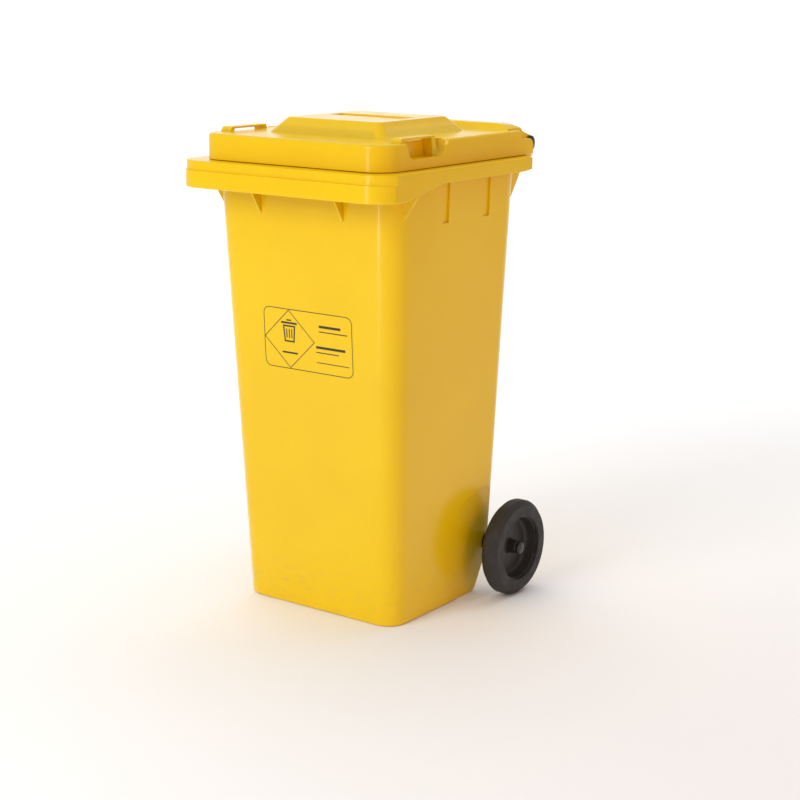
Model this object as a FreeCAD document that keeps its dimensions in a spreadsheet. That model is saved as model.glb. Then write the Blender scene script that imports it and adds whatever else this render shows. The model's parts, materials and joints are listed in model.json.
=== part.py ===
import FreeCAD, Part
import math
import os
import re
import Sketcher
from FreeCAD import Placement, Rotation, Vector

# Two-wheeled waste bin: a tapered tub with a lifting rim, a hinged lid and two wheels on one axle.
# Frame: X to the bin's left-right, Y from the front (label side) to the back, Z up, floor at Z = 0.

DIMENSIONS = [
    # tub: plan half width, distance of the front and rear walls from the origin, corner radius
    ("base_half_width", 188.1),
    ("base_front", 163.0),
    ("base_rear", 184.0),
    ("base_corner", 42.0),
    ("mouth_half_width", 221.1),
    ("mouth_front", 212.7),
    ("mouth_rear", 215.3),
    ("mouth_corner", 50.0),
    ("tub_wall", 4.5),
    ("tub_floor", 6.0),
    ("foot_height", 8.0),
    ("foot_ring", 24.0),
    ("foot_round", 6.0),
    # lifting rim
    ("rim_top", 888.0),
    ("rim_step", 870.0),
    ("rim_front_bottom", 837.0),
    ("rim_side_bottom", 861.5),
    ("rim_half_width", 250.5),
    ("rim_front", 282.0),
    ("rim_upper_front", 278.0),
    ("rim_edge", 242.0),
    ("rim_rear", 228.0),
    ("rim_side_rear", 205.0),
    ("rear_flange_y", 251.0),
    ("rear_flange_half_width", 221.0),
    ("rim_skin", 4.0),
    ("rim_round", 2.5),
    ("lower_corner_run", 56.0),
    ("upper_corner_run", 58.0),
    ("skirt_rise_start", 218.0),
    ("skirt_rise_end", 99.0),
    # gussets under the rim
    ("gusset_thick", 4.5),
    ("front_gusset_x", 98.5),
    ("side_gusset_y", 176.0),
    ("gusset_apex", 790.0),
    # shallow recesses in the side walls
    ("recess_depth", 4.0),
    ("recess_width", 19.0),
    ("recess_bottom", 781.0),
    ("recess_front_y", 44.0),
    ("recess_rear_y", 94.0),
    ("arch_radius", 123.0),
    ("arch_y", 130.0),
    ("arch_step", 1.0),
    ("arch_slope", 0.0437),
    # slanted lower back with the axle housings
    ("kink_height", 110.0),
    ("heel_rear", 126.6),
    ("heel_round", 20.0),
    ("heel_run", 11.8),
    ("heel_step", 5.7),
    ("heel_rise", 10.3),
    ("heel_start", -0.4),
    ("inner_slant_top", 235.0),
    ("inner_slant_foot", 104.0),
    ("cheek_x", 150.0),
    ("mid_rib_x", 52.0),
    ("rib_thick", 6.0),
    ("housing_radius", 17.0),
    # axle and wheels
    ("axle_y", 165.4),
    ("axle_height", 97.9),
    ("axle_radius", 10.0),
    ("axle_half_length", 268.0),
    ("housing_clearance", 0.2),
    ("running_clearance", 0.06),
    ("wheel_inner", 232.5),
    ("wheel_outer", 270.5),
    ("tyre_radius", 97.9),
    ("tyre_bore", 68.0),
    ("tyre_chamfer", 8.5),
    ("web_inner", 236.0),
    ("web_outer", 241.0),
    ("dish_radius", 62.0),
    ("hub_radius", 13.5),
    ("hub_inner_radius", 19.0),
    ("hub_inner_end", 231.5),
    ("hub_outer_end", 260.0),
    ("bush_radius", 11.6),
    ("bush_length", 13.0),
    ("bush_flange", 1.5),
    ("bush_flange_radius", 15.0),
    ("spacer_radius", 14.5),
    ("spacer_inner", 185.0),
    ("washer_thick", 1.5),
    ("washer_radius", 12.8),
    ("cap_end", 271.5),
    # hinge and hand bar
    ("hinge_y", 272.0),
    ("hinge_height", 907.0),
    ("bar_radius", 15.0),
    ("outer_plate_x", 176.0),
    ("inner_plate_x", 56.0),
    ("plate_thick", 8.0),
    ("plate_apex", 820.0),
    ("ear_gusset_x", 192.0),
    ("ear_gusset_apex", 806.0),
    ("ear_gusset_rear", 248.0),
    ("pin_radius", 8.0),
    ("pin_root_x", 122.0),
    ("pin_head_x", 201.0),
    ("pin_head_radius", 16.0),
    ("pin_head_thick", 7.0),
    ("knuckle_x", 188.0),
    ("knuckle_width", 12.0),
    ("knuckle_radius", 17.0),
    # lid
    ("lid_base", 889.0),
    ("lid_deck", 938.0),
    ("lid_ledge", 920.5),
    ("lid_half_width", 221.7),
    ("lid_front", 245.0),
    ("lid_corner", 50.7),
    ("lid_step_y", 209.0),
    ("lid_back", 243.0),
    ("ear_end", 253.0),
    ("ear_x", 205.5),
    ("ear_round", 15.0),
    ("lid_wall", 3.5),
    ("deck_round", 7.0),
    ("plateau_top", 966.0),
    ("plateau_half_width", 112.0),
    ("plateau_front", 113.0),
    ("plateau_rear", 111.0),
    ("plateau_spread", 28.0),
    ("plateau_corner", 14.0),
    ("plateau_round", 4.0),
    ("panel_half_width", 88.0),
    ("panel_front", 10.0),
    ("panel_rear", 34.0),
    ("panel_depth", 6.0),
    ("hood_top", 950.0),
    ("hood_half_width", 165.0),
    ("hood_foot_y", 180.0),
    ("hood_crest_y", 196.0),
    ("hood_fall_y", 222.0),
    ("hood_back_height", 928.0),
    ("hood_shoulder", 90.0),
    ("hood_round", 7.0),
    ("strap_inner", 190.0),
    ("strap_outer", 214.0),
    ("strap_top", 946.5),
    ("strap_thick", 4.0),
    ("strap_front", 183.0),
    ("strap_rear", 72.0),
    ("scoop_inner", 193.0),
    ("scoop_front", 176.0),
    ("scoop_rear", 42.0),
    ("scoop_floor", 908.0),
    ("scoop_end_round", 40.0),
    # label
    ("label_half_width", 109.0),
    ("label_x", 5.0),
    ("label_bottom", 490.0),
    ("label_top", 612.0),
    ("label_thick", 0.4),
    ("label_corner", 16.0),
]

doc = FreeCAD.newDocument("waste_bin")
sheet = doc.addObject("Spreadsheet::Sheet", "sizes")
for row, (alias, number) in enumerate(DIMENSIONS, start=1):
    sheet.set(f"A{row}", alias)
    sheet.set(f"B{row}", str(number))
    sheet.setAlias(f"B{row}", alias)
doc.recompute()

# Planes for sketches: plan looks down on X-Y, side holds (Y, Z) and grows to +X,
# front holds (X, Z) and grows to -Y.
# Each is its turn and the axis along which its level counts.
PLAN = (Rotation(), "z")
SIDE = (Rotation(Vector(1, 1, 1), 120), "x")
FRONT = (Rotation(Vector(1, 0, 0), 90), "y")


def link(text):
    """Turn names of dimensions in a formula into references to the sheet's cells."""
    return re.sub(r"[a-z_]+", lambda word: "sizes." + word.group(), str(text))


sheet_reader = doc.addObject("App::FeaturePython", "sheet_reader")


def value(formula):
    return float(sheet_reader.evalExpression(link(formula)))


def arc_centre(first, last, radius):
    """Centre of the arc from first to last; a positive radius turns to the left."""
    chord = last - first
    middle = (first + last) * 0.5
    reach = math.sqrt(max(radius * radius - chord.Length ** 2 / 4, 0.0))
    left = Vector(-chord.y, chord.x, 0).normalize()
    return middle + left * math.copysign(reach, radius)


def add_outline(sketch, corners):
    """Draw a closed outline: each corner is (x, y) or (x, y, radius of the arc that leads to it)."""
    points = [Vector(value(corner[0]), value(corner[1]), 0) for corner in corners]
    count = len(corners)
    ends = []
    for index in range(count):
        following = (index + 1) % count
        first, last = points[index], points[following]
        if len(corners[following]) == 2:
            sketch.addGeometry(Part.LineSegment(first, last), False)
            ends.append((1, 2))
            continue
        radius = value(corners[following][2])
        centre = arc_centre(first, last, radius)
        circle = Part.Circle(centre, Vector(0, 0, 1), abs(radius))
        start, stop = (first, last) if radius > 0 else (last, first)
        angles = [math.atan2(p.y - centre.y, p.x - centre.x) for p in (start, stop)]
        if angles[1] < angles[0]:
            angles[1] += 2 * math.pi
        sketch.addGeometry(Part.ArcOfCircle(circle, *angles), False)
        ends.append((1, 2) if radius > 0 else (2, 1))
    for index in range(count):
        following = (index + 1) % count
        sketch.addConstraint(
            Sketcher.Constraint("Coincident", index, ends[index][1], following, ends[following][0]))
    for index, corner in enumerate(corners):
        position = ends[index][0]
        for kind, formula in (("DistanceX", corner[0]), ("DistanceY", corner[1])):
            number = sketch.addConstraint(
                Sketcher.Constraint(kind, -1, 1, index, position, value(formula)))
            sketch.setExpression(f"Constraints[{number}]", link(formula))
        if len(corner) == 3:
            edge = (index - 1) % count
            number = sketch.addConstraint(
                Sketcher.Constraint("Radius", edge, abs(value(corner[2]))))
            sketch.setExpression(f"Constraints[{number}]", "abs(" + link(corner[2]) + ")")


def outline(name, plane, level, corners):
    """A sketch on a plane at a level along that plane's own axis."""
    turn, axis = plane
    sketch = doc.addObject("Sketcher::SketchObject", name)
    sketch.Placement = Placement(Vector(), turn)
    sketch.setExpression("Placement.Base." + axis, link(level))
    add_outline(sketch, corners)
    return sketch


def extrude(name, sketch, length):
    solid = doc.addObject("Part::Extrusion", name)
    solid.Base = sketch
    solid.DirMode = "Normal"
    solid.Solid = True
    solid.setExpression("LengthFwd", link(length))
    return solid


def prism(name, plane, level, length, corners):
    return extrude(name, outline(name + "_outline", plane, level, corners), length)


def loft(name, low, high):
    solid = doc.addObject("Part::Loft", name)
    solid.Sections = [low, high]
    solid.Solid = True
    solid.Ruled = True
    return solid


def fuse(name, parts):
    solid = doc.addObject("Part::MultiFuse", name)
    solid.Shapes = parts
    return solid


def common(name, parts):
    solid = doc.addObject("Part::MultiCommon", name)
    solid.Shapes = parts
    return solid


def cut(name, base, tools):
    solid = doc.addObject("Part::Cut", name)
    solid.Base = base
    solid.Tool = tools[0] if len(tools) == 1 else fuse(name + "_tools", tools)
    return solid


def rod(name, radius, length, start, level_y, level_z):
    """A cylinder along X from start."""
    solid = doc.addObject("Part::Cylinder", name)
    solid.Placement = Placement(Vector(), Rotation(Vector(0, 1, 0), 90))
    for field, formula in (("Radius", radius), ("Height", length), ("Placement.Base.x", start),
                           ("Placement.Base.y", level_y), ("Placement.Base.z", level_z)):
        solid.setExpression(field, link(formula))
    return solid


def mirrored(name, source):
    """The same solid on the other side of the bin's middle plane."""
    solid = doc.addObject("Part::Mirroring", name)
    solid.Source = source
    solid.Normal = Vector(1, 0, 0)
    return solid


def both_sides(name, source):
    return [source, mirrored(name + "_mirrored", source)]


def rounded(name, solid, radius, level):
    """The solid with those of its edges rounded that lie wholly at one height."""
    doc.recompute()
    height, size = value(level), value(radius)
    fillet = doc.addObject("Part::Fillet", name)
    fillet.Base = solid
    fillet.Edges = [
        (number, size, size) for number, edge in enumerate(solid.Shape.Edges, start=1)
        if max(abs(edge.BoundBox.ZMin - height), abs(edge.BoundBox.ZMax - height)) < 0.01]
    return fillet


def rounded_rectangle(half_width, front, rear, radius):
    """Corners of a rounded rectangle from -half_width to half_width and from -front to rear."""
    side = f"({half_width})"
    inner = f"({half_width} - ({radius}))"
    low, high = f"(-({front}))", f"({rear})"
    low_in, high_in = f"(-({front}) + ({radius}))", f"({rear} - ({radius}))"
    return [
        (inner, low), (side, low_in, radius), (side, high_in),
        (inner, high, radius), (f"-{inner}", high), (f"-{side}", high_in, radius),
        (f"-{side}", low_in), (f"-{inner}", low, radius),
    ]


def finish(solid, label):
    solid.Label = label
    nodes.append(solid)
    return solid


nodes = []


# ---------------------------------------------------------------- tub

def tub_form(name, inset, low_level, high_level):
    """The tapered container between two levels, shrunk by inset."""
    ends = []
    for end, level in (("low", low_level), ("high", high_level)):
        ends.append(outline(f"{name}_{end}", PLAN, level, rounded_rectangle(*(
            f"base_{side} + (mouth_{side} - base_{side}) * ({level}) / rim_top - {inset}"
            for side in ("half_width", "front", "rear", "corner")))))
    return loft(name, *ends)


def rim_outline(name, level, inset, front, run):
    """Plan of the rim: a bowed front corner that ends in an upright edge, then straight sides."""
    edge_x, edge_y = f"(rim_half_width - {inset})", f"(-rim_edge + {inset} * 0.3)"
    front_y = f"(-{front} + {inset})"
    depth = f"({front} - rim_edge - {inset} * 0.7)"
    radius = f"({run} * {run} + {depth} * {depth}) / (2 * {depth})"
    side_rear, rear = f"(rim_side_rear - {inset})", f"(rim_rear - {inset})"
    tail_x = f"(rim_half_width - 24 - {inset})"
    return outline(name, PLAN, level, [
        (f"{edge_x} - {run}", front_y), (edge_x, edge_y, radius), (edge_x, side_rear),
        (tail_x, rear), (f"-{tail_x}", rear), (f"-{edge_x}", side_rear), (f"-{edge_x}", edge_y),
        (f"-({edge_x} - {run})", front_y, radius),
    ])


def rim_ring():
    """Flange and down-turned skirt of the rim, deep at the front and thin along the sides."""
    lower = extrude("rim_lower", rim_outline(
        "rim_lower_plan", "rim_front_bottom", "0", "rim_front", "lower_corner_run"),
        "rim_step - rim_front_bottom")
    lower = rounded("rim_lower_rounded", lower, "rim_round", "rim_front_bottom")
    upper = extrude("rim_upper", rim_outline(
        "rim_upper_plan", "rim_step", "0", "rim_upper_front", "upper_corner_run"),
        "rim_top - rim_step")
    upper = rounded("rim_upper_rounded", upper, "rim_round", "rim_top")
    lower_hollow = extrude("rim_lower_hollow", rim_outline(
        "rim_lower_inside", "rim_front_bottom - 1", "rim_skin", "rim_upper_front", "lower_corner_run"),
        "rim_top - rim_skin - rim_front_bottom + 1")
    trim = prism("skirt_trim", SIDE, "-300", "600", [
        ("-skirt_rise_start", "rim_front_bottom - 2"), ("-skirt_rise_start", "rim_front_bottom"),
        ("-skirt_rise_end", "rim_side_bottom"), ("rim_side_rear - 30", "rim_side_bottom"),
        ("rim_rear + 2", "rim_side_bottom + 5"), ("rim_rear + 2", "rim_front_bottom - 2"),
    ])
    rear_flange = prism("rear_flange", PLAN, "rim_top - rim_skin", "rim_skin", [
        ("-rear_flange_half_width", "rim_rear - 8"), ("rear_flange_half_width", "rim_rear - 8"),
        ("rear_flange_half_width", "rear_flange_y"), ("-rear_flange_half_width", "rear_flange_y")])
    ring = cut("rim_ring", fuse("rim_block", [lower, upper]), [lower_hollow, trim])
    return [ring, rear_flange]


def gussets():
    """Thin triangular ribs under the rim, on the front and side walls."""
    parts = []
    front = prism("front_gusset", SIDE, "front_gusset_x - gusset_thick / 2", "gusset_thick", [
        ("-mouth_front + 10", "gusset_apex"), ("-mouth_front + 4.5", "gusset_apex"),
        ("-rim_upper_front + 9", "rim_top - 2"), ("-mouth_front + 10", "rim_top - 2")])
    parts += both_sides("front_gusset", front)
    side = prism("side_gusset", FRONT, "-side_gusset_y + gusset_thick / 2", "gusset_thick", [
        ("mouth_half_width - 8", "gusset_apex + 8"), ("mouth_half_width - 4.4", "gusset_apex + 8"),
        ("rim_half_width - 3", "rim_front_bottom + 5"), ("rim_half_width - 3", "rim_top - 2"),
        ("mouth_half_width - 8", "rim_top - 2")])
    parts += both_sides("side_gusset", side)
    ear = prism("ear_gusset", SIDE, "ear_gusset_x", "gusset_thick + 1.5", [
        ("mouth_rear - 14", "ear_gusset_apex - 6"), ("mouth_rear - 3.2", "ear_gusset_apex"),
        ("ear_gusset_rear", "rim_side_bottom - 4"), ("ear_gusset_rear", "rim_top"),
        ("mouth_rear - 14", "rim_top")])
    parts += both_sides("ear_gusset", ear)
    return parts


def hinge_brackets():
    """Four upright plates behind the rim, and the hand bar that they carry."""
    parts = []
    for name, place in (("outer_plate", "outer_plate_x"), ("inner_plate", "inner_plate_x")):
        plate = prism(name, SIDE, place, "plate_thick", [
            ("mouth_rear - 12", "plate_apex - 6"), ("mouth_rear - 2.6", "plate_apex"),
            ("hinge_y - 22", "hinge_height - 39"), ("hinge_y + 12", "hinge_height - 9"),
            ("hinge_y - 9", "hinge_height + 12"), ("hinge_y - 25", "hinge_height - 18"),
            ("rear_flange_y - 3", "rim_top - 3"), ("mouth_rear - 12", "rim_top - 3")])
        parts += both_sides(name, plate)
    bar = rod("hand_bar", "bar_radius", "2 * (outer_plate_x + plate_thick)",
              "-outer_plate_x - plate_thick", "hinge_y", "hinge_height")
    return parts + [bar]


def side_recesses(name, extra):
    """The two shallow upright slots of each side wall; extra widens them for the wall behind."""
    parts = []
    for key, place in (("front", "-recess_front_y"), ("rear", "recess_rear_y")):
        slot = prism(f"{name}_{key}", FRONT, f"{place} + recess_width / 2 + {extra}",
                     f"recess_width + 2 * {extra}", [
                         (f"mouth_half_width - 4.1 - recess_depth - {extra}", f"recess_bottom - {extra}"),
                         ("mouth_half_width + 4", f"recess_bottom - {extra}"),
                         ("mouth_half_width + 4", "rim_top - rim_skin"),
                         (f"mouth_half_width - 0.4 - recess_depth - {extra}", "rim_top - rim_skin")])
        parts += both_sides(f"{name}_{key}", slot)
    return parts


def arch_recess(name, extra):
    """Round shallow recess beside each wheel, deeper towards the back."""
    wall_slope = value("(mouth_half_width - base_half_width) / rim_top")
    lean = Rotation(Vector(0, 0, 1), math.degrees(math.atan(value("arch_slope"))))
    tilt = Rotation(Vector(0, 1, 0), 90 + math.degrees(math.atan(wall_slope)))
    disc = doc.addObject("Part::Cylinder", name)
    disc.Placement = Placement(Vector(), lean.multiply(tilt))
    wall = "base_half_width + (mouth_half_width - base_half_width) * axle_height / rim_top"
    for field, formula in (("Radius", f"arch_radius + {extra}"), ("Height", "60"),
                           ("Placement.Base.x", f"{wall} - arch_step - arch_radius * arch_slope - {extra}"),
                           ("Placement.Base.y", "arch_y"), ("Placement.Base.z", "axle_height")):
        disc.setExpression(field, link(formula))
    return both_sides(name, disc)


def lower_back():
    """Everything behind the slanted lower back, as one block."""
    return prism("heel_block", SIDE, "-250", "500", [
        ("heel_rear - heel_run", "-1"), ("heel_rear - heel_run", "heel_start"),
        ("heel_rear + heel_step", "heel_rise", "heel_round"),
        ("base_rear + 3.9", "kink_height"), ("base_rear + 60", "kink_height"),
        ("base_rear + 60", "-1")])


def inner_slant(name, offset):
    """Space behind the cavity's slanted lower back wall, moved back by offset."""
    return prism(name, SIDE, "-250", "500", [
        (f"inner_slant_foot + {offset}", "0"),
        (f"inner_slant_foot + {offset}", "foot_height + tub_floor"),
        (f"base_rear + 6 + {offset}", "inner_slant_top"),
        ("base_rear + 60", "inner_slant_top"), ("base_rear + 60", "0")])


def axle_pockets():
    """Open bays between the ribs that hold the axle, seen from behind."""
    behind = inner_slant("pocket_slant", "tub_wall + 1")
    bays = []
    for key, start, stop in (("middle", "-mid_rib_x", "mid_rib_x"),
                             ("side", "mid_rib_x + rib_thick", "cheek_x"),
                             ("edge", "cheek_x + rib_thick", "base_half_width - 13")):
        bay = prism(f"bay_{key}", SIDE, start, f"{stop} - ({start})", [
            ("inner_slant_foot", "-2"), ("inner_slant_foot", "foot_height + tub_floor"),
            ("base_rear - 12", "inner_slant_top - 30"), ("base_rear + 60", "inner_slant_top - 30"),
            ("base_rear + 60", "-2")])
        bays += [bay] if key == "middle" else both_sides(f"bay_{key}", bay)
    return common("axle_bays", [fuse("bays", bays), behind])


def build_tub():
    skin = rounded("tub_skin_rounded", tub_form("tub_skin", "0", "0", "rim_top"), "foot_round", "0")
    outer = cut("tub_outer", skin, [lower_back()])
    cavity_raw = tub_form("tub_cavity", "tub_wall", "foot_height + tub_floor", "rim_top + 5")
    liners = side_recesses("recess_liner", "3") + arch_recess("arch_liner", "3.5")
    cavity = cut("tub_inside", cavity_raw, liners + [inner_slant("cavity_slant", "0")])
    foot = extrude("foot_recess", outline("foot_plan", PLAN, "-1", rounded_rectangle(
        "base_half_width - foot_ring", "base_front - foot_ring",
        "inner_slant_foot - 12", "base_corner - foot_ring / 2")), "foot_height + 1")
    body = fuse("tub_body", [outer] + rim_ring() + gussets() + hinge_brackets())
    bore = rod("axle_bore", "axle_radius + housing_clearance", "600", "-300", "axle_y", "axle_height")
    pin_bore = rod("pin_bore", "pin_radius + running_clearance",
                   "outer_plate_x + plate_thick - pin_root_x + 10", "pin_root_x - 2",
                   "hinge_y", "hinge_height")
    housing = rod("axle_housing", "housing_radius", "20", "cheek_x - 10", "axle_y", "axle_height")
    mid_housing = rod("mid_housing", "housing_radius", "rib_thick + 8", "mid_rib_x - 4",
                      "axle_y", "axle_height")
    tools = [cavity, foot, axle_pockets()]
    tools += side_recesses("recess", "0") + arch_recess("arch", "0")
    shell = cut("tub_shell", body, tools)
    housings = common("housings", [
        fuse("housing_rods", both_sides("axle_housing", housing) + both_sides("mid_housing", mid_housing)),
        outer])
    whole = fuse("tub_whole", [shell, housings])
    return cut("tub", whole, [bore] + both_sides("pin_bore", pin_bore))


# ---------------------------------------------------------------- lid

def lid_outline(name, level, inset, rear):
    """Plan of the lid: round front corners, straight sides and a square back."""
    side, radius = f"(lid_half_width - {inset})", f"(lid_corner - {inset})"
    front = f"(-lid_front + {inset})"
    return outline(name, PLAN, level, [
        (f"{side} - {radius}", front), (side, f"{front} + {radius}", radius), (side, rear),
        (f"-{side}", rear), (f"-{side}", f"{front} + {radius}"),
        (f"-({side} - {radius})", front, radius)])


def lid_form(name, inset, base):
    """Outer form of the lid, or the space inside it when inset is the wall thickness."""
    outside = inset == "0"
    deck = extrude(name + "_deck", lid_outline(
        name + "_deck_plan", base, inset, f"lid_step_y - {inset}"), f"lid_deck - {inset} - ({base})")
    if outside:
        deck = rounded(name + "_deck_rounded", deck, "deck_round", "lid_deck")
    back = extrude(name + "_back", lid_outline(
        name + "_back_plan", base, inset,
        "ear_end" if outside else f"lid_back - {inset}"), f"lid_ledge - {inset} - ({base})")
    plateau = loft(name + "_plateau", outline(
        name + "_plateau_low", PLAN, f"lid_deck - {inset} - 1", rounded_rectangle(
            f"plateau_half_width + plateau_spread - {inset} * 0.4",
            f"plateau_front + plateau_spread - {inset} * 0.4",
            f"plateau_rear + plateau_spread - {inset} * 0.4",
            "plateau_corner + 4")), outline(
        name + "_plateau_high", PLAN, f"plateau_top - {inset}", rounded_rectangle(
            f"plateau_half_width - {inset} * 0.4", f"plateau_front - {inset} * 0.4",
            f"plateau_rear - {inset} * 0.4", "plateau_corner")))
    if outside:
        plateau = rounded(name + "_plateau_rounded", plateau, "plateau_round", "plateau_top")
    ridge = prism(name + "_ridge", SIDE, f"-ear_x + {inset}", f"2 * (ear_x - {inset})", [
        (f"hood_foot_y + {inset}", f"lid_base + 5"),
        (f"hood_foot_y + {inset}", f"lid_deck - 1 - {inset}"),
        (f"hood_crest_y + {inset} * 0.5", f"hood_top - {inset}"),
        (f"hood_fall_y - {inset} * 0.4", f"hood_top - {inset}"),
        (f"lid_back - {inset}", f"hood_back_height - {inset} * 0.4"),
        (f"lid_back - {inset}", f"lid_base + 5")])
    profile = prism(name + "_crown", FRONT, "lid_back + 5", "100", [
        (f"-ear_x - 5 + {inset}", "lid_base"), (f"ear_x + 5 - {inset}", "lid_base"),
        (f"ear_x + 5 - {inset}", f"lid_deck - {inset}"),
        (f"hood_half_width", f"hood_top - {inset}", "hood_shoulder"),
        (f"-hood_half_width", f"hood_top - {inset}"),
        (f"-ear_x - 5 + {inset}", f"lid_deck - {inset}", "hood_shoulder")])
    if outside:
        ridge = rounded(name + "_ridge_rounded", ridge, "hood_round", "hood_top")
    hood = common(name + "_hood", [ridge, profile])
    return [deck, back, plateau, hood]


def scoops(name, inset):
    """Finger scoops in both lid sides under the strap grips."""
    scoop = prism(name, SIDE, f"scoop_inner - {inset}", "lid_half_width - scoop_inner + 6", [
        (f"-scoop_front - {inset}", "lid_deck + 1"),
        (f"-scoop_front + 9 - {inset}", f"scoop_floor + 5 - {inset}"),
        (f"-scoop_front + 18 - {inset}", f"scoop_floor - {inset}"),
        (f"-scoop_rear - 20 + {inset}", f"scoop_floor - {inset}"),
        (f"-scoop_rear + {inset}", "lid_deck + 1", f"scoop_end_round + {inset}")])
    return both_sides(name, scoop)


def strap_grip():
    """Flat strap over each finger scoop: a short post in front, a long one from the scoop's floor."""
    strap = prism("strap", SIDE, "strap_inner", "strap_outer - strap_inner", [
        ("-strap_front - 7", "lid_deck - 3"), ("-strap_front + 2", "strap_top"),
        ("-strap_rear - 8", "strap_top"), ("-strap_rear + 4", "scoop_floor - 1"),
        ("-strap_rear - 12", "scoop_floor - 1"), ("-strap_rear - 18", "strap_top - strap_thick"),
        ("-strap_front + 10", "strap_top - strap_thick"), ("-strap_front + 6", "lid_deck - 3")])
    return both_sides("strap", strap)


def knuckles():
    """Arms from the lid's back that turn on the hinge pins."""
    arm = prism("knuckle_arm", SIDE, "knuckle_x", "knuckle_width", [
        ("lid_back - 4", "hinge_height - 13"), ("hinge_y - 6", "hinge_height - knuckle_radius + 1"),
        ("hinge_y + 3", "hinge_height + knuckle_radius - 0.4"),
        ("hood_fall_y + 6", "hinge_height + 32"), ("lid_back - 4", "hinge_height + 6")])
    ring = rod("knuckle_ring", "knuckle_radius", "knuckle_width", "knuckle_x", "hinge_y", "hinge_height")
    return both_sides("knuckle_arm", arm) + both_sides("knuckle_ring", ring)


def ear_trim():
    """What is taken off the back: the gap between the ears and the ears' round upper corner."""
    gap = prism("ear_gap", PLAN, "lid_base - 1", "lid_ledge - lid_base + 3", [
        ("-ear_x", "lid_back"), ("ear_x", "lid_back"), ("ear_x", "ear_end + 2"), ("-ear_x", "ear_end + 2")])
    corner = prism("ear_corner", SIDE, "-lid_half_width - 2", "2 * lid_half_width + 4", [
        ("ear_end", "lid_ledge - ear_round"), ("ear_end - ear_round", "lid_ledge", "ear_round"),
        ("ear_end - ear_round", "lid_ledge + 2"), ("ear_end + 2", "lid_ledge + 2"),
        ("ear_end + 2", "lid_ledge - ear_round")])
    return [gap, corner]


def build_lid():
    outer = cut("lid_outer", fuse("lid_mass", lid_form("lid_form", "0", "lid_base")),
                scoops("scoop", "0") + ear_trim())
    inside = cut("lid_inside", fuse("lid_space", lid_form("lid_void", "lid_wall", "lid_base - 1")),
                 scoops("scoop_liner", "lid_wall"))
    panel = prism("sunk_panel", PLAN, "plateau_top - panel_depth", "panel_depth + 2", [
        ("-panel_half_width", "-panel_front"), ("panel_half_width", "-panel_front"),
        ("panel_half_width", "panel_rear"), ("-panel_half_width", "panel_rear")])
    panel_floor = prism("panel_floor", PLAN, "plateau_top - panel_depth - lid_wall", "panel_depth", [
        ("-panel_half_width - 3", "-panel_front - 3"), ("panel_half_width + 3", "-panel_front - 3"),
        ("panel_half_width + 3", "panel_rear + 3"), ("-panel_half_width - 3", "panel_rear + 3")])
    shell = cut("lid_shell", outer, [inside])
    mass = fuse("lid_whole", [shell, panel_floor] + strap_grip() + knuckles())
    bore = rod("knuckle_bore", "pin_radius + running_clearance", "knuckle_width + 4",
               "knuckle_x - 2", "hinge_y", "hinge_height")
    return cut("lid", mass, [panel] + both_sides("knuckle_bore", bore))


# ---------------------------------------------------------------- turned pieces

SIDES = {"right": 0, "left": 180}


def sketched_body(label, role, corners):
    """A body with a closed outline on one of its own planes."""
    body = doc.addObject("PartDesign::Body", label)
    plane = next(item for item in body.Origin.OriginFeatures if item.Role == role)
    sketch = body.newObject("Sketcher::SketchObject", label + "_section")
    sketch.AttachmentSupport = (plane, [""])
    sketch.MapMode = "FlatFace"
    add_outline(sketch, corners)
    return body, sketch


def turned(label, corners, level_y, level_z, turn):
    """A body of revolution about X: corners are (distance along X from the middle, radius)."""
    body, sketch = sketched_body(label, "XY_Plane", corners)
    turning = body.newObject("PartDesign::Revolution", label + "_turning")
    turning.Profile = sketch
    turning.ReferenceAxis = (sketch, ["H_Axis"])
    turning.Angle = 360
    body.Placement = Placement(Vector(), Rotation(Vector(0, 0, 1), turn))
    body.setExpression("Placement.Base.y", link(level_y))
    body.setExpression("Placement.Base.z", link(level_z))
    return finish(body, label)


def on_axle(label, corners, turn=0):
    return turned(label, corners, "axle_y", "axle_height", turn)


def build_axle():
    chamfer = "1.5"
    on_axle("axle", [
        ("-axle_half_length", "0"), ("axle_half_length", "0"),
        ("axle_half_length", f"axle_radius - {chamfer}"), (f"axle_half_length - {chamfer}", "axle_radius"),
        (f"-axle_half_length + {chamfer}", "axle_radius"), ("-axle_half_length", f"axle_radius - {chamfer}")])


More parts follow.
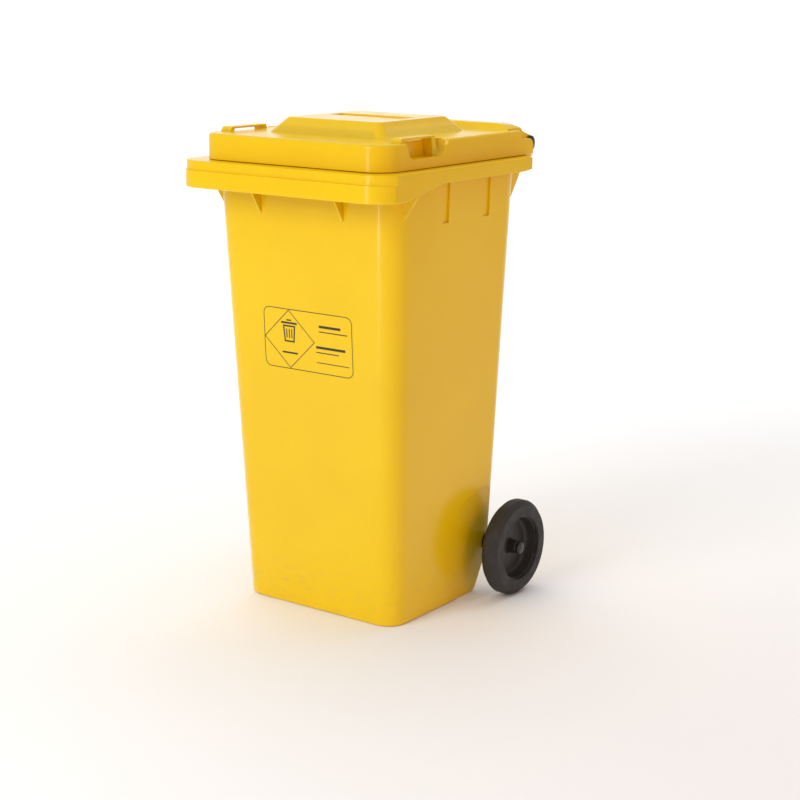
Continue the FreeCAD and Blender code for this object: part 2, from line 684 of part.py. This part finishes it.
def build_wheel(side, turn):
    bore = "bush_radius"
    on_axle(f"wheel_disc_{side}", [
        ("hub_inner_end", bore), ("hub_outer_end", bore), ("hub_outer_end", "hub_radius"),
        ("web_outer + 3", "hub_radius + 0.6"), ("web_outer", "hub_radius + 3"),
        ("web_outer", "dish_radius - 8"), ("web_outer + 6", "dish_radius - 2"),
        ("wheel_outer - 7", "dish_radius + 1"), ("wheel_outer - 7", "dish_radius + 3.5"),
        ("wheel_outer - 1", "dish_radius + 4"), ("wheel_outer - 1", "tyre_bore"),
        ("wheel_inner + 1", "tyre_bore"), ("wheel_inner + 1", "dish_radius - 1"),
        ("web_inner", "dish_radius - 6"), ("web_inner", "hub_inner_radius"),
        ("hub_inner_end", "hub_inner_radius - 1")], turn)
    on_axle(f"tyre_{side}", [
        ("wheel_inner", "tyre_bore"), ("wheel_outer", "tyre_bore"),
        ("wheel_outer", "tyre_radius - tyre_chamfer - 1.5"),
        ("wheel_outer - 1.5", "tyre_radius - tyre_chamfer", "1.5"),
        ("wheel_outer - tyre_chamfer", "tyre_radius - 1.2"),
        ("wheel_outer - tyre_chamfer - 3", "tyre_radius"),
        ("wheel_inner + tyre_chamfer + 3", "tyre_radius"),
        ("wheel_inner + tyre_chamfer", "tyre_radius - 1.2"),
        ("wheel_inner + 1.5", "tyre_radius - tyre_chamfer"),
        ("wheel_inner", "tyre_radius - tyre_chamfer - 1.5", "1.5")], turn)
    for name, edge, sign in (("inner", "hub_inner_end", 1), ("outer", "hub_outer_end", -1)):
        flange = f"{edge} - ({sign} * bush_flange)"
        inner_r = "(axle_radius + running_clearance)"
        outer_flange = "bush_flange_radius" if name == "inner" else "hub_radius - 0.5"
        on_axle(f"{name}_bush_{side}", [
            (flange, inner_r), (flange, outer_flange), (edge, outer_flange), (edge, bore),
            (f"{edge} + ({sign} * bush_length)", bore), (f"{edge} + ({sign} * bush_length)", inner_r)], turn)


def build_axle_fittings(side, turn):
    on_axle(f"spacer_sleeve_{side}", [
        ("spacer_inner", "axle_radius + 0.05"), ("hub_inner_end - bush_flange - 0.3", "axle_radius + 0.05"),
        ("hub_inner_end - bush_flange - 0.3", "spacer_radius"),
        ("spacer_inner + 9", "spacer_radius"), ("spacer_inner + 6", "spacer_radius + 2.5"),
        ("spacer_inner", "spacer_radius + 2.5")], turn)
    washer = "hub_outer_end + bush_flange + 0.3"
    on_axle(f"axle_washer_{side}", [
        (washer, "axle_radius + 0.05"), (f"{washer} + washer_thick", "axle_radius + 0.05"),
        (f"{washer} + washer_thick", "washer_radius"), (washer, "washer_radius")], turn)
    cap = f"{washer} + washer_thick + 0.1"
    on_axle(f"axle_cap_{side}", [
        (cap, "axle_radius"), ("axle_half_length", "axle_radius"), ("axle_half_length", "0"),
        ("cap_end", "0"), ("cap_end - 1", "hub_radius - 3.5", "40"),
        ("cap_end - 3.5", "hub_radius - 0.5", "4"), (cap, "hub_radius - 0.5")], turn)


def build_hinge_pin(side, turn):
    """Plain pin with a domed head; it is pushed in from the side of the bin."""
    turned(f"hinge_pin_{side}", [
        ("pin_root_x", "0"), ("pin_head_x + pin_head_thick", "0"),
        ("pin_head_x + pin_head_thick - 4", "pin_head_radius", "34"),
        ("pin_head_x", "pin_head_radius"), ("pin_head_x", "pin_radius"),
        ("pin_root_x + 5", "pin_radius"), ("pin_root_x", "pin_radius - 2.5")],
        "hinge_y", "hinge_height", turn)


def build_label():
    """Thin rounded label lying on the sloping front wall."""
    half_height = "(label_top - label_bottom) / 2"
    body, sketch = sketched_body("waste_label", "XZ_Plane", rounded_rectangle(
        "label_half_width", half_height, half_height, "label_corner"))
    pad = body.newObject("PartDesign::Pad", "label_pad")
    pad.Profile = sketch
    pad.setExpression("Length", link("label_thick"))
    slope = value("(mouth_front - base_front) / rim_top")
    body.Placement = Placement(Vector(), Rotation(Vector(1, 0, 0), math.degrees(math.atan(slope))))
    middle = "(label_top + label_bottom) / 2"
    body.setExpression("Placement.Base.x", link("label_x"))
    body.setExpression("Placement.Base.y", link(
        f"-base_front - (mouth_front - base_front) * {middle} / rim_top - 0.02"))
    body.setExpression("Placement.Base.z", link(middle))
    return finish(body, "waste_label")


finish(build_tub(), "tub")
finish(build_lid(), "lid")
build_axle()
for side, turn in SIDES.items():
    build_wheel(side, turn)
    build_axle_fittings(side, turn)
    build_hinge_pin(side, turn)
build_label()

doc.recompute()
for item in doc.Objects:
    if any(word in item.State for word in ("Invalid", "Error")):
        raise RuntimeError(f"{item.Label} failed: {item.State}")
    if item.TypeId == "Part::Cut" and item.Shape.Volume > item.Base.Shape.Volume - 1:
        raise RuntimeError(f"{item.Label} takes nothing away")


def mesh_volume(shape):
    """Volume enclosed by the shape's own triangles, to compare with the volume it claims."""
    points, triangles = shape.copy().tessellate(0.5)
    return sum(points[a].dot(points[b].cross(points[c])) for a, b, c in triangles) / 6


os.makedirs("parts", exist_ok=True)
for node in nodes:
    shape = node.Shape
    if shape.isNull() or not shape.isValid():
        raise RuntimeError(f"{node.Label} has no valid shape")
    if abs(mesh_volume(shape) / shape.Volume - 1) > 0.05:
        raise RuntimeError(f"{node.Label} encloses {mesh_volume(shape):.0f}, not {shape.Volume:.0f} mm3")
    box = shape.BoundBox
    spans = [f"{low:.1f}..{high:.1f}" for low, high in (
        (box.XMin, box.XMax), (box.YMin, box.YMax), (box.ZMin, box.ZMax))]
    print(f"{node.Label}: {len(shape.Solids)} solid, {shape.Volume / 1000:.1f} cm3, {spans}")
    shape.exportStep(f"parts/{node.Label}.step")
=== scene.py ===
"""Two-wheeled waste bin: the visual pieces, materials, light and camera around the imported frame.

Units are metres, in the frame of the CAD: X across the bin, -Y the label side, Z up, floor at 0.
"""
import json
import math

import bmesh
import bpy
from mathutils import Matrix, Vector


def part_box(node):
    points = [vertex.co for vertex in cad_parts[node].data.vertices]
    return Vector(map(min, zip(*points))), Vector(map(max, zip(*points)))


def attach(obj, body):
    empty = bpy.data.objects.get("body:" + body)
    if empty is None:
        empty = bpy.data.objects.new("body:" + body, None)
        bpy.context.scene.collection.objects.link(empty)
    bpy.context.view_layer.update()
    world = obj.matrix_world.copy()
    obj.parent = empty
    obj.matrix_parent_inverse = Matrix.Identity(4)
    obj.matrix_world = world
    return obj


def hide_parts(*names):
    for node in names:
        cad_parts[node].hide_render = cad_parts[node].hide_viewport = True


MM = 0.001

# camera
CAMERA_AZIMUTH = 35.96
CAMERA_ELEVATION = 13.34
CAMERA_ROLL = 0.437
CAMERA_DISTANCE = 3.566
CAMERA_LENS = 79.66
TARGET_HEIGHT = 0.4004
TARGET_SHIFT = 0.0665

# clean-up of the CAD meshes and rounding of their outward edges, angles in degrees
LARGE_EDGE = 0.8 * MM
SMALL_EDGE = 0.4 * MM
EDGE_SEGMENTS = 2
LEAST_EDGE_TURN = 24
SHARP_TURN = 35
FLAT_TURN = 0.5
MERGE_WITHIN = 0.02 * MM
NORMAL_WEIGHT = 60
# nodes that keep their CAD mesh: a rounded tyre would stand out of the CAD box
KEPT_AS_CAD = ("waste_label", "axle_cap", "tyre")

# colours
YELLOW_DEEP, YELLOW_BRIGHT = (0.86, 0.545, 0.003), (0.90, 0.585, 0.004)
YELLOW_SPECK = (0.72, 0.43, 0.02)
# darker, more orange yellow of the streaks towards the bottom of the tub
YELLOW_LOW_STREAK = (0.58, 0.34, 0.025)
STEEL_DARK, STEEL_LIGHT = (0.50, 0.50, 0.51), (0.66, 0.66, 0.67)
PAPER_DARK, PAPER_LIGHT = (0.94, 0.94, 0.94), (0.96, 0.96, 0.96)
# heights in metres below which the darker, more orange streaks fade in: the tub's, and a near-zero one
# that leaves the lid and label without them
TUB_STREAK_TOP = 0.16
NO_LOW_STREAKS = 0.001

# light
WORLD_STRENGTH = 0.42
LIGHT_AIM_HEIGHT = 0.5

# print on the label: distances from the label's middle, across and up
LABEL_FILM = 0.4 * MM
INK_DEPTH = 0.15 * MM
INK_LINE = 1.5 * MM
FRAME_INSET = 1.6 * MM
FRAME_CORNER = 14.0 * MM
DIAMOND_MIDDLE = -45.0 * MM
DIAMOND_HALF_WIDTH = 62.0 * MM
SIGN_RISE = 12 * MM
SIGN_SIZE = 36 * MM
# the bin sign, in parts of its size
SIGN_LINE = 0.09
SIGN_BODY = ((-0.34, -0.5), (0.34, -0.5), (0.42, 0.42), (-0.42, 0.42))
SIGN_BARS = (
    # left, right, bottom, top of the lid, the grip and three ribs
    (-0.54, 0.54, 0.49, 0.60), (-0.16, 0.16, 0.66, 0.74),
    (-0.205, -0.135, -0.28, 0.22), (-0.035, 0.035, -0.28, 0.22), (0.135, 0.205, -0.28, 0.22))
TEXT_BARS = (
    # left, right, middle height, thickness, all in millimetres
    (28, 80, 33, 5), (28, 96, 23, 2), (20, 90, -8, 5), (20, 74, -18, 2), (20, 98, -38, 1.6),
    (-64, -26, -27, 3.5))

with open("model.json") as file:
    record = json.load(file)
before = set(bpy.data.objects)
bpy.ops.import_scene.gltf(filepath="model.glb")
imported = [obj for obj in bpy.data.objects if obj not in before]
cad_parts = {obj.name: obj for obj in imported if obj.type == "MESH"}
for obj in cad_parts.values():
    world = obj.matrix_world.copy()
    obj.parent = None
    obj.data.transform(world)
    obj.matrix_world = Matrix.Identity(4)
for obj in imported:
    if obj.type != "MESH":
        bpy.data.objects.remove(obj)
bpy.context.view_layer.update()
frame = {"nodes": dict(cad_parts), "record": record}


# ---------------------------------------------------------------- shaders

class Nodes:
    """Short calls for building one material's node tree."""

    def __init__(self, name):
        self.material = bpy.data.materials.new(name)
        self.material.use_nodes = True
        self.tree = self.material.node_tree
        self.shader = self.tree.nodes["Principled BSDF"]
        self.place = self.add("ShaderNodeTexCoord").outputs["Object"]

    def add(self, kind, **settings):
        node = self.tree.nodes.new(kind)
        for key, setting in settings.items():
            setattr(node, key, setting)
        return node

    def link(self, source, target):
        self.tree.links.new(source, target)

    def noise(self, scale, detail=2.0, roughness=0.5, stretch=(1, 1, 1)):
        mapping = self.add("ShaderNodeMapping")
        mapping.inputs["Scale"].default_value = stretch
        self.link(self.place, mapping.inputs["Vector"])
        texture = self.add("ShaderNodeTexNoise")
        texture.inputs["Scale"].default_value = scale
        texture.inputs["Detail"].default_value = detail
        texture.inputs["Roughness"].default_value = roughness
        self.link(mapping.outputs["Vector"], texture.inputs["Vector"])
        return texture.outputs["Fac"]

    def spread(self, source, given, wanted=(0, 1)):
        """Map the given span of values onto the wanted one, clamped."""
        node = self.add("ShaderNodeMapRange", clamp=True)
        for key, number in zip(("From Min", "From Max", "To Min", "To Max"), (*given, *wanted)):
            node.inputs[key].default_value = number
        self.link(source, node.inputs["Value"])
        return node.outputs["Result"]

    def height(self):
        split = self.add("ShaderNodeSeparateXYZ")
        self.link(self.place, split.inputs["Vector"])
        return split.outputs["Z"]

    def times(self, first, second):
        node = self.add("ShaderNodeMath", operation="MULTIPLY")
        for socket, source in zip(node.inputs, (first, second)):
            if isinstance(source, (int, float)):
                socket.default_value = source
            else:
                self.link(source, socket)
        return node.outputs["Value"]

    def blend(self, amount, first, second):
        node = self.add("ShaderNodeMix", data_type="RGBA")
        colours = [socket for socket in node.inputs if socket.type == "RGBA"]
        for socket, colour in zip(colours, (first, second)):
            if isinstance(colour, tuple):
                socket.default_value = (*colour, 1)
            else:
                self.link(colour, socket)
        self.link(amount, node.inputs["Factor"])
        return next(socket for socket in node.outputs if socket.type == "RGBA")

    def bump(self, *layers):
        """Stack of (height source, depth in metres)."""
        normal = None
        for source, depth in layers:
            node = self.add("ShaderNodeBump")
            node.inputs["Distance"].default_value = depth
            self.link(source, node.inputs["Height"])
            if normal is not None:
                self.link(normal, node.inputs["Normal"])
            normal = node.outputs["Normal"]
        self.link(normal, self.shader.inputs["Normal"])

    def colour(self, source):
        self.link(source, self.shader.inputs["Base Color"])

    def roughness(self, source):
        self.link(source, self.shader.inputs["Roughness"])


def yellow_plastic(name, streak_top):
    """Glossy moulded polyethylene with faint specks; darker, more orange and rougher streaks towards
    the bottom, below the given height.
    """
    nodes = Nodes(name)
    tone = nodes.noise(3.1, detail=3.0)
    base = nodes.blend(nodes.spread(tone, (0.35, 0.65)), YELLOW_DEEP, YELLOW_BRIGHT)
    speck = nodes.spread(nodes.noise(210, detail=4.0, roughness=0.65), (0.66, 0.74), (0, 0.16))
    base = nodes.blend(speck, base, YELLOW_SPECK)
    # darker, more orange and rougher streaks, strongest towards the bottom
    low = nodes.spread(nodes.height(), (streak_top * 0.15, streak_top), (1, 0))
    streaks = nodes.spread(nodes.noise(34, detail=6.0, roughness=0.7, stretch=(1, 1, 7)), (0.56, 0.68))
    low_streaks = nodes.times(nodes.times(low, streaks), 0.5)
    base = nodes.blend(low_streaks, base, YELLOW_LOW_STREAK)
    nodes.colour(base)
    gloss = nodes.spread(nodes.noise(9, detail=5.0), (0.3, 0.7), (0.15, 0.24))
    streaked_roughness = nodes.add("ShaderNodeMath", operation="ADD")
    nodes.link(gloss, streaked_roughness.inputs[0])
    nodes.link(nodes.times(low_streaks, 0.5), streaked_roughness.inputs[1])
    nodes.roughness(streaked_roughness.outputs["Value"])
    nodes.shader.inputs["IOR"].default_value = 1.5
    nodes.shader.inputs["Specular IOR Level"].default_value = 0.34
    nodes.bump((nodes.noise(5.5, detail=1.0), 1.2 * MM), (nodes.noise(700, detail=2.0), 0.02 * MM))
    return nodes.material


def dark_plastic(name, dark, light, roughness, grain):
    """Mottled plastic or rubber with a little dust; roughness is its lowest and highest."""
    nodes = Nodes(name)
    tone = nodes.spread(nodes.noise(26, detail=5.0, roughness=0.6), (0.3, 0.7))
    dust = nodes.spread(nodes.noise(120, detail=6.0, roughness=0.7), (0.60, 0.78), (0, 0.35))
    nodes.colour(nodes.blend(dust, nodes.blend(tone, dark, light), tuple(1.7 * part for part in light)))
    nodes.roughness(nodes.spread(nodes.noise(40, detail=4.0), (0.3, 0.7), roughness))
    nodes.bump((nodes.noise(38, detail=2.0), 0.12 * MM), (nodes.noise(grain, detail=3.0), 0.05 * MM))
    return nodes.material


def steel(name):
    """Drawn rod: fine streaks along X."""
    nodes = Nodes(name)
    drawn = nodes.noise(260, detail=4.0, stretch=(0.05, 1, 1))
    nodes.colour(nodes.blend(nodes.spread(drawn, (0.3, 0.7)), STEEL_DARK, STEEL_LIGHT))
    nodes.roughness(nodes.spread(drawn, (0.3, 0.7), (0.24, 0.42)))
    nodes.shader.inputs["Metallic"].default_value = 1.0
    nodes.bump((drawn, 0.02 * MM))
    return nodes.material


MATERIALS = {
    "bin_plastic": yellow_plastic("bin_yellow", TUB_STREAK_TOP),
    "lid_plastic": yellow_plastic("lid_yellow", NO_LOW_STREAKS),
    "label_film": yellow_plastic("label_yellow", NO_LOW_STREAKS),
    "black_plastic": dark_plastic(
        "black_plastic", (0.006, 0.006, 0.007), (0.012, 0.012, 0.013), (0.22, 0.38), grain=800),
    "wheel_plastic": dark_plastic(
        "wheel_grey", (0.021, 0.020, 0.019), (0.032, 0.030, 0.029), (0.42, 0.56), grain=620),
    "bush_plastic": dark_plastic(
        "bush_grey", (0.035, 0.035, 0.036), (0.055, 0.055, 0.056), (0.35, 0.5), grain=900),
    "tyre_rubber": dark_plastic(
        "tyre_rubber", (0.018, 0.017, 0.016), (0.030, 0.028, 0.027), (0.55, 0.72), grain=480),
    "axle_steel": steel("axle_steel"),
}
INK = dark_plastic("label_ink", (0.035, 0.018, 0.008), (0.05, 0.026, 0.01), (0.3, 0.45), grain=900)


# ---------------------------------------------------------------- mesh tools

def slice_mesh(mesh, axis, level):
    """Cut the faces where they cross a level of one axis and return the new edges."""
    normal = Vector((axis == "x", axis == "y", axis == "z"))
    cut = bmesh.ops.bisect_plane(
        mesh, geom=mesh.verts[:] + mesh.edges[:] + mesh.faces[:], dist=1e-6,
        plane_co=normal * level, plane_no=normal)
    return [item for item in cut["geom_cut"] if isinstance(item, bmesh.types.BMEdge)]


def merged_copy(node, middles):
    """The node's mesh with its flat faces whole, but split through the middle of their holes."""
    mesh = bmesh.new()
    mesh.from_mesh(frame["nodes"][node].data)
    bmesh.ops.remove_doubles(mesh, verts=mesh.verts, dist=MERGE_WITHIN)
    for axis, level in middles:
        for edge in slice_mesh(mesh, axis, level):
            edge.seam = True
    bmesh.ops.dissolve_limit(
        mesh, angle_limit=math.radians(FLAT_TURN), verts=mesh.verts, edges=mesh.edges, delimit={"SEAM"})
    return mesh


def soften(mesh, size):
    """Round the outward edges that turn by more than the least angle."""
    least = math.radians(LEAST_EDGE_TURN)
    edges = [edge for edge in mesh.edges
             if edge.is_manifold and edge.is_convex and edge.calc_face_angle(0) > least]
    bmesh.ops.bevel(
        mesh, geom=edges, offset=size, offset_type="OFFSET", segments=EDGE_SEGMENTS, profile=0.5,
        affect="EDGES", clamp_overlap=False)


def piece(name, mesh, body, slot, replaced=(), material=None):
    """Make the object of a finished mesh, and say what it rides on, is made of and replaces."""
    data = bpy.data.meshes.new(name)
    mesh.to_mesh(data)
    mesh.free()
    thing = bpy.data.objects.new(name, data)
    bpy.context.scene.collection.objects.link(thing)
    data.materials.append(material or MATERIALS[slot])
    for face in data.polygons:
        face.use_smooth = True
    data.set_sharp_from_angle(angle=math.radians(SHARP_TURN))
    weigh = thing.modifiers.new("weigh_normals", "WEIGHTED_NORMAL")
    weigh.weight = NORMAL_WEIGHT
    weigh.keep_sharp = True
    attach(thing, body)
    if replaced:
        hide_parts(*replaced)


NODE_SLOTS = {part["node"]: part["material_slot"] for part in frame["record"]["subparts"]}
NODE_BODY = {
    node: body
    for body, members in frame["record"]["behaviour"]["bodies"].items() for node in members}

pin_low, pin_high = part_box("hinge_pin_left")
axle_low, axle_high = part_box("axle")
HINGE = (pin_low + pin_high) / 2
AXLE = (axle_low + axle_high) / 2
# where flat faces are split: across the large openings, and through the hinge's and the axle's holes
MIDDLES = (("x", 0), ("y", 0), ("y", HINGE.y), ("z", HINGE.z), ("y", AXLE.y), ("z", AXLE.z))


def softened_piece(node, size):
    mesh = merged_copy(node, MIDDLES)
    soften(mesh, size)
    piece(node + "_shell", mesh, NODE_BODY[node], NODE_SLOTS[node], [node])


LARGE_NODES = ("tub", "lid")
for node in LARGE_NODES:
    softened_piece(node, LARGE_EDGE)
for node in sorted(set(frame["nodes"]) - set(LARGE_NODES)):
    if node.startswith(KEPT_AS_CAD):
        frame["nodes"][node].data.materials[0] = MATERIALS[NODE_SLOTS[node]]
    else:
        softened_piece(node, SMALL_EDGE)


# ---------------------------------------------------------------- print on the label

class Print:
    """Flat closed shapes lying on the label's sloping front face, as one mesh."""

    def __init__(self, node):
        low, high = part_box(node)
        self.mesh = bmesh.new()
        self.across = Vector((1, 0, 0))
        self.up = Vector((0, LABEL_FILM - (high.y - low.y), high.z - low.z)).normalized()
        self.out = self.across.cross(self.up)
        middle_y = (low.y + high.y - LABEL_FILM) / 2
        self.middle = Vector(((low.x + high.x) / 2, middle_y, (low.z + high.z) / 2))
        self.half_width = (high.x - low.x) / 2
        self.half_height = (high.z - low.z) / 2

    def corner(self, point, lift):
        """A vertex at a place on the label, lifted off its face."""
        spot = self.middle + self.across * point[0] + self.up * point[1] + self.out * lift
        return self.mesh.verts.new(spot)

    def plate(self, points):
        """A filled shape; its points run anticlockwise."""
        back = [self.corner(point, 0) for point in points]
        front = [self.corner(point, INK_DEPTH) for point in points]
        self.mesh.faces.new(front)
        self.mesh.faces.new(back[::-1])
        for index, following in ring_pairs(len(points)):
            self.mesh.faces.new((back[index], back[following], front[following], front[index]))

    def band(self, points, width):
        """A line of the given width along a closed outline, on its inner side."""
        inner = inset_outline(points, width)
        rows = [[self.corner(point, lift) for point in outline]
                for outline, lift in ((points, 0), (points, INK_DEPTH), (inner, INK_DEPTH), (inner, 0))]
        for row, next_row in zip(rows, rows[1:] + rows[:1]):
            for index, following in ring_pairs(len(points)):
                self.mesh.faces.new((row[index], row[following], next_row[following], next_row[index]))


def ring_pairs(count):
    """Each index with the next one around a closed ring."""
    return [(index, (index + 1) % count) for index in range(count)]


def inset_outline(points, width):
    """The same anticlockwise outline moved inwards by width, with mitred corners."""
    moved = []
    for index, point in enumerate(points):
        here = Vector(point)
        before = (here - Vector(points[index - 1])).normalized()
        after = (Vector(points[(index + 1) % len(points)]) - here).normalized()
        inward = Vector((-before.y - after.y, before.x + after.x)).normalized()
        moved.append(here + inward * (width / inward.dot(Vector((-before.y, before.x)))))
    return moved


def rounded_box(half_width, half_height, radius, steps=6):
    """Anticlockwise outline about the origin, with that many steps around each corner."""
    points = []
    for quarter, (side, end) in enumerate(((1, 1), (-1, 1), (-1, -1), (1, -1))):
        for step in range(steps + 1):
            turn = math.pi / 2 * (quarter + step / steps)
            points.append((side * (half_width - radius) + radius * math.cos(turn),
                           end * (half_height - radius) + radius * math.sin(turn)))
    return points


def box_points(left, right, bottom, top):
    return [(left, bottom), (right, bottom), (right, top), (left, top)]


def bin_sign(sheet, middle, size):
    """Generic drawing of a waste bin: a tapered body, its lid, a grip and three ribs."""
    sheet.band([(middle + across * size, up * size) for across, up in SIGN_BODY], SIGN_LINE * size)
    for left, right, bottom, top in SIGN_BARS:
        sheet.plate(box_points(middle + left * size, middle + right * size, bottom * size, top * size))


def label_print():
    sheet = Print("waste_label")
    frame_width, frame_height = sheet.half_width - FRAME_INSET, sheet.half_height - FRAME_INSET
    sheet.band(rounded_box(frame_width, frame_height, FRAME_CORNER), INK_LINE)
    half_height = frame_height - INK_LINE
    sheet.band([(DIAMOND_MIDDLE + DIAMOND_HALF_WIDTH, 0), (DIAMOND_MIDDLE, half_height),
                (DIAMOND_MIDDLE - DIAMOND_HALF_WIDTH, 0), (DIAMOND_MIDDLE, -half_height)], INK_LINE)
    for left, right, height, thick in TEXT_BARS:
        sheet.plate(box_points(
            left * MM, right * MM, (height - thick / 2) * MM, (height + thick / 2) * MM))
    icon = Print("waste_label")
    icon.middle += icon.up * SIGN_RISE
    bin_sign(icon, DIAMOND_MIDDLE, SIGN_SIZE)
    piece("label_frame_and_bars", sheet.mesh, "bin", "black_plastic", material=INK)
    piece("label_bin_sign", icon.mesh, "bin", "black_plastic", material=INK)


label_print()


# ---------------------------------------------------------------- studio

def studio_floor():
    """Pale floor that curves up into a backdrop far behind the bin."""
    mesh = bmesh.new()
    near, far, side, top = -9.0, 7.0, 14.0, 9.0
    bend, steps = 2.5, 24
    turns = [math.pi / 2 * step / steps for step in range(steps + 1)]
    curve = [(far + bend * math.sin(turn), bend - bend * math.cos(turn)) for turn in turns]
    line = [(near, 0.0), *curve, (far + bend, top)]
    spin = Matrix.Rotation(math.radians(CAMERA_AZIMUTH), 3, "Z")
    rows = [[mesh.verts.new(spin @ Vector((x, y, z))) for x in (-side, side)] for y, z in line]
    for first, second in zip(rows, rows[1:]):
        mesh.faces.new((first[0], first[1], second[1], second[0]))
    data = bpy.data.meshes.new("studio_floor")
    mesh.to_mesh(data)
    mesh.free()
    for face in data.polygons:
        face.use_smooth = True
    floor = bpy.data.objects.new("studio_floor", data)
    bpy.context.scene.collection.objects.link(floor)
    nodes = Nodes("studio_paper")
    nodes.colour(nodes.blend(nodes.noise(2.0), PAPER_DARK, PAPER_LIGHT))
    nodes.roughness(nodes.spread(nodes.noise(60), (0.3, 0.7), (0.75, 0.85)))
    data.materials.append(nodes.material)


def area_light(name, azimuth, elevation, distance, size, power, colour=(1, 1, 1)):
    """Soft box that faces the middle of the bin from the given direction."""
    light = bpy.data.lights.new(name, "AREA")
    light.shape = "RECTANGLE"
    light.size, light.size_y = size
    light.energy = power
    light.color = colour
    thing = bpy.data.objects.new(name, light)
    bpy.context.scene.collection.objects.link(thing)
    turn, rise = math.radians(azimuth), math.radians(elevation)
    away = Vector((math.sin(turn) * math.cos(rise), -math.cos(turn) * math.cos(rise), math.sin(rise)))
    thing.location = away * distance + Vector((0, 0, LIGHT_AIM_HEIGHT))
    thing.rotation_euler = away.to_track_quat("Z", "Y").to_euler()


def ceiling_light(name, back, height, size, power):
    """Large soft panel over the floor behind the bin, facing down, that keeps the backdrop pale."""
    light = bpy.data.lights.new(name, "AREA")
    light.shape = "SQUARE"
    light.size = size
    light.energy = power
    thing = bpy.data.objects.new(name, light)
    bpy.context.scene.collection.objects.link(thing)
    turn = math.radians(CAMERA_AZIMUTH)
    thing.location = Vector((-math.sin(turn) * back, math.cos(turn) * back, height))
    thing.rotation_euler = (0, 0, turn)
    thing.visible_glossy = False


def camera():
    """The camera, aimed beside the bin's middle axis and rolled slightly."""
    turn, rise = math.radians(CAMERA_AZIMUTH), math.radians(CAMERA_ELEVATION)
    right = Vector((math.cos(turn), math.sin(turn), 0))
    back = Vector((math.sin(turn) * math.cos(rise), -math.cos(turn) * math.cos(rise), math.sin(rise)))
    up = back.cross(right)
    roll = math.radians(CAMERA_ROLL)
    side = math.cos(roll) * right + math.sin(roll) * up
    top = math.cos(roll) * up - math.sin(roll) * right
    data = bpy.data.cameras.new("camera")
    data.lens = CAMERA_LENS
    thing = bpy.data.objects.new("camera", data)
    bpy.context.scene.collection.objects.link(thing)
    place = Vector((0, 0, TARGET_HEIGHT)) + right * TARGET_SHIFT + back * CAMERA_DISTANCE
    thing.matrix_world = Matrix.Translation(place) @ Matrix((side, top, back)).transposed().to_4x4()
    bpy.context.scene.camera = thing


world = bpy.data.worlds.new("studio_world")
world.use_nodes = True
world.node_tree.nodes["Background"].inputs["Color"].default_value = (1, 1, 1, 1)
world.node_tree.nodes["Background"].inputs["Strength"].default_value = WORLD_STRENGTH
bpy.context.scene.world = world
bpy.context.scene.view_settings.view_transform = "Standard"
studio_floor()
area_light("key", azimuth=-8, elevation=30, distance=4.0, size=(1.6, 1.8), power=58)
area_light("floor_wash", azimuth=20, elevation=70, distance=4.5, size=(4.0, 4.0), power=14)
area_light("streak", azimuth=-3, elevation=0, distance=2.5, size=(0.12, 0.95), power=5)
area_light(
    "fill", azimuth=80, elevation=14, distance=4.5, size=(1.6, 2.2), power=26, colour=(1.0, 0.36, 0.10))
ceiling_light("ceiling", back=5.0, height=4.0, size=9.0, power=300)
camera()

bpy.context.view_layer.update()
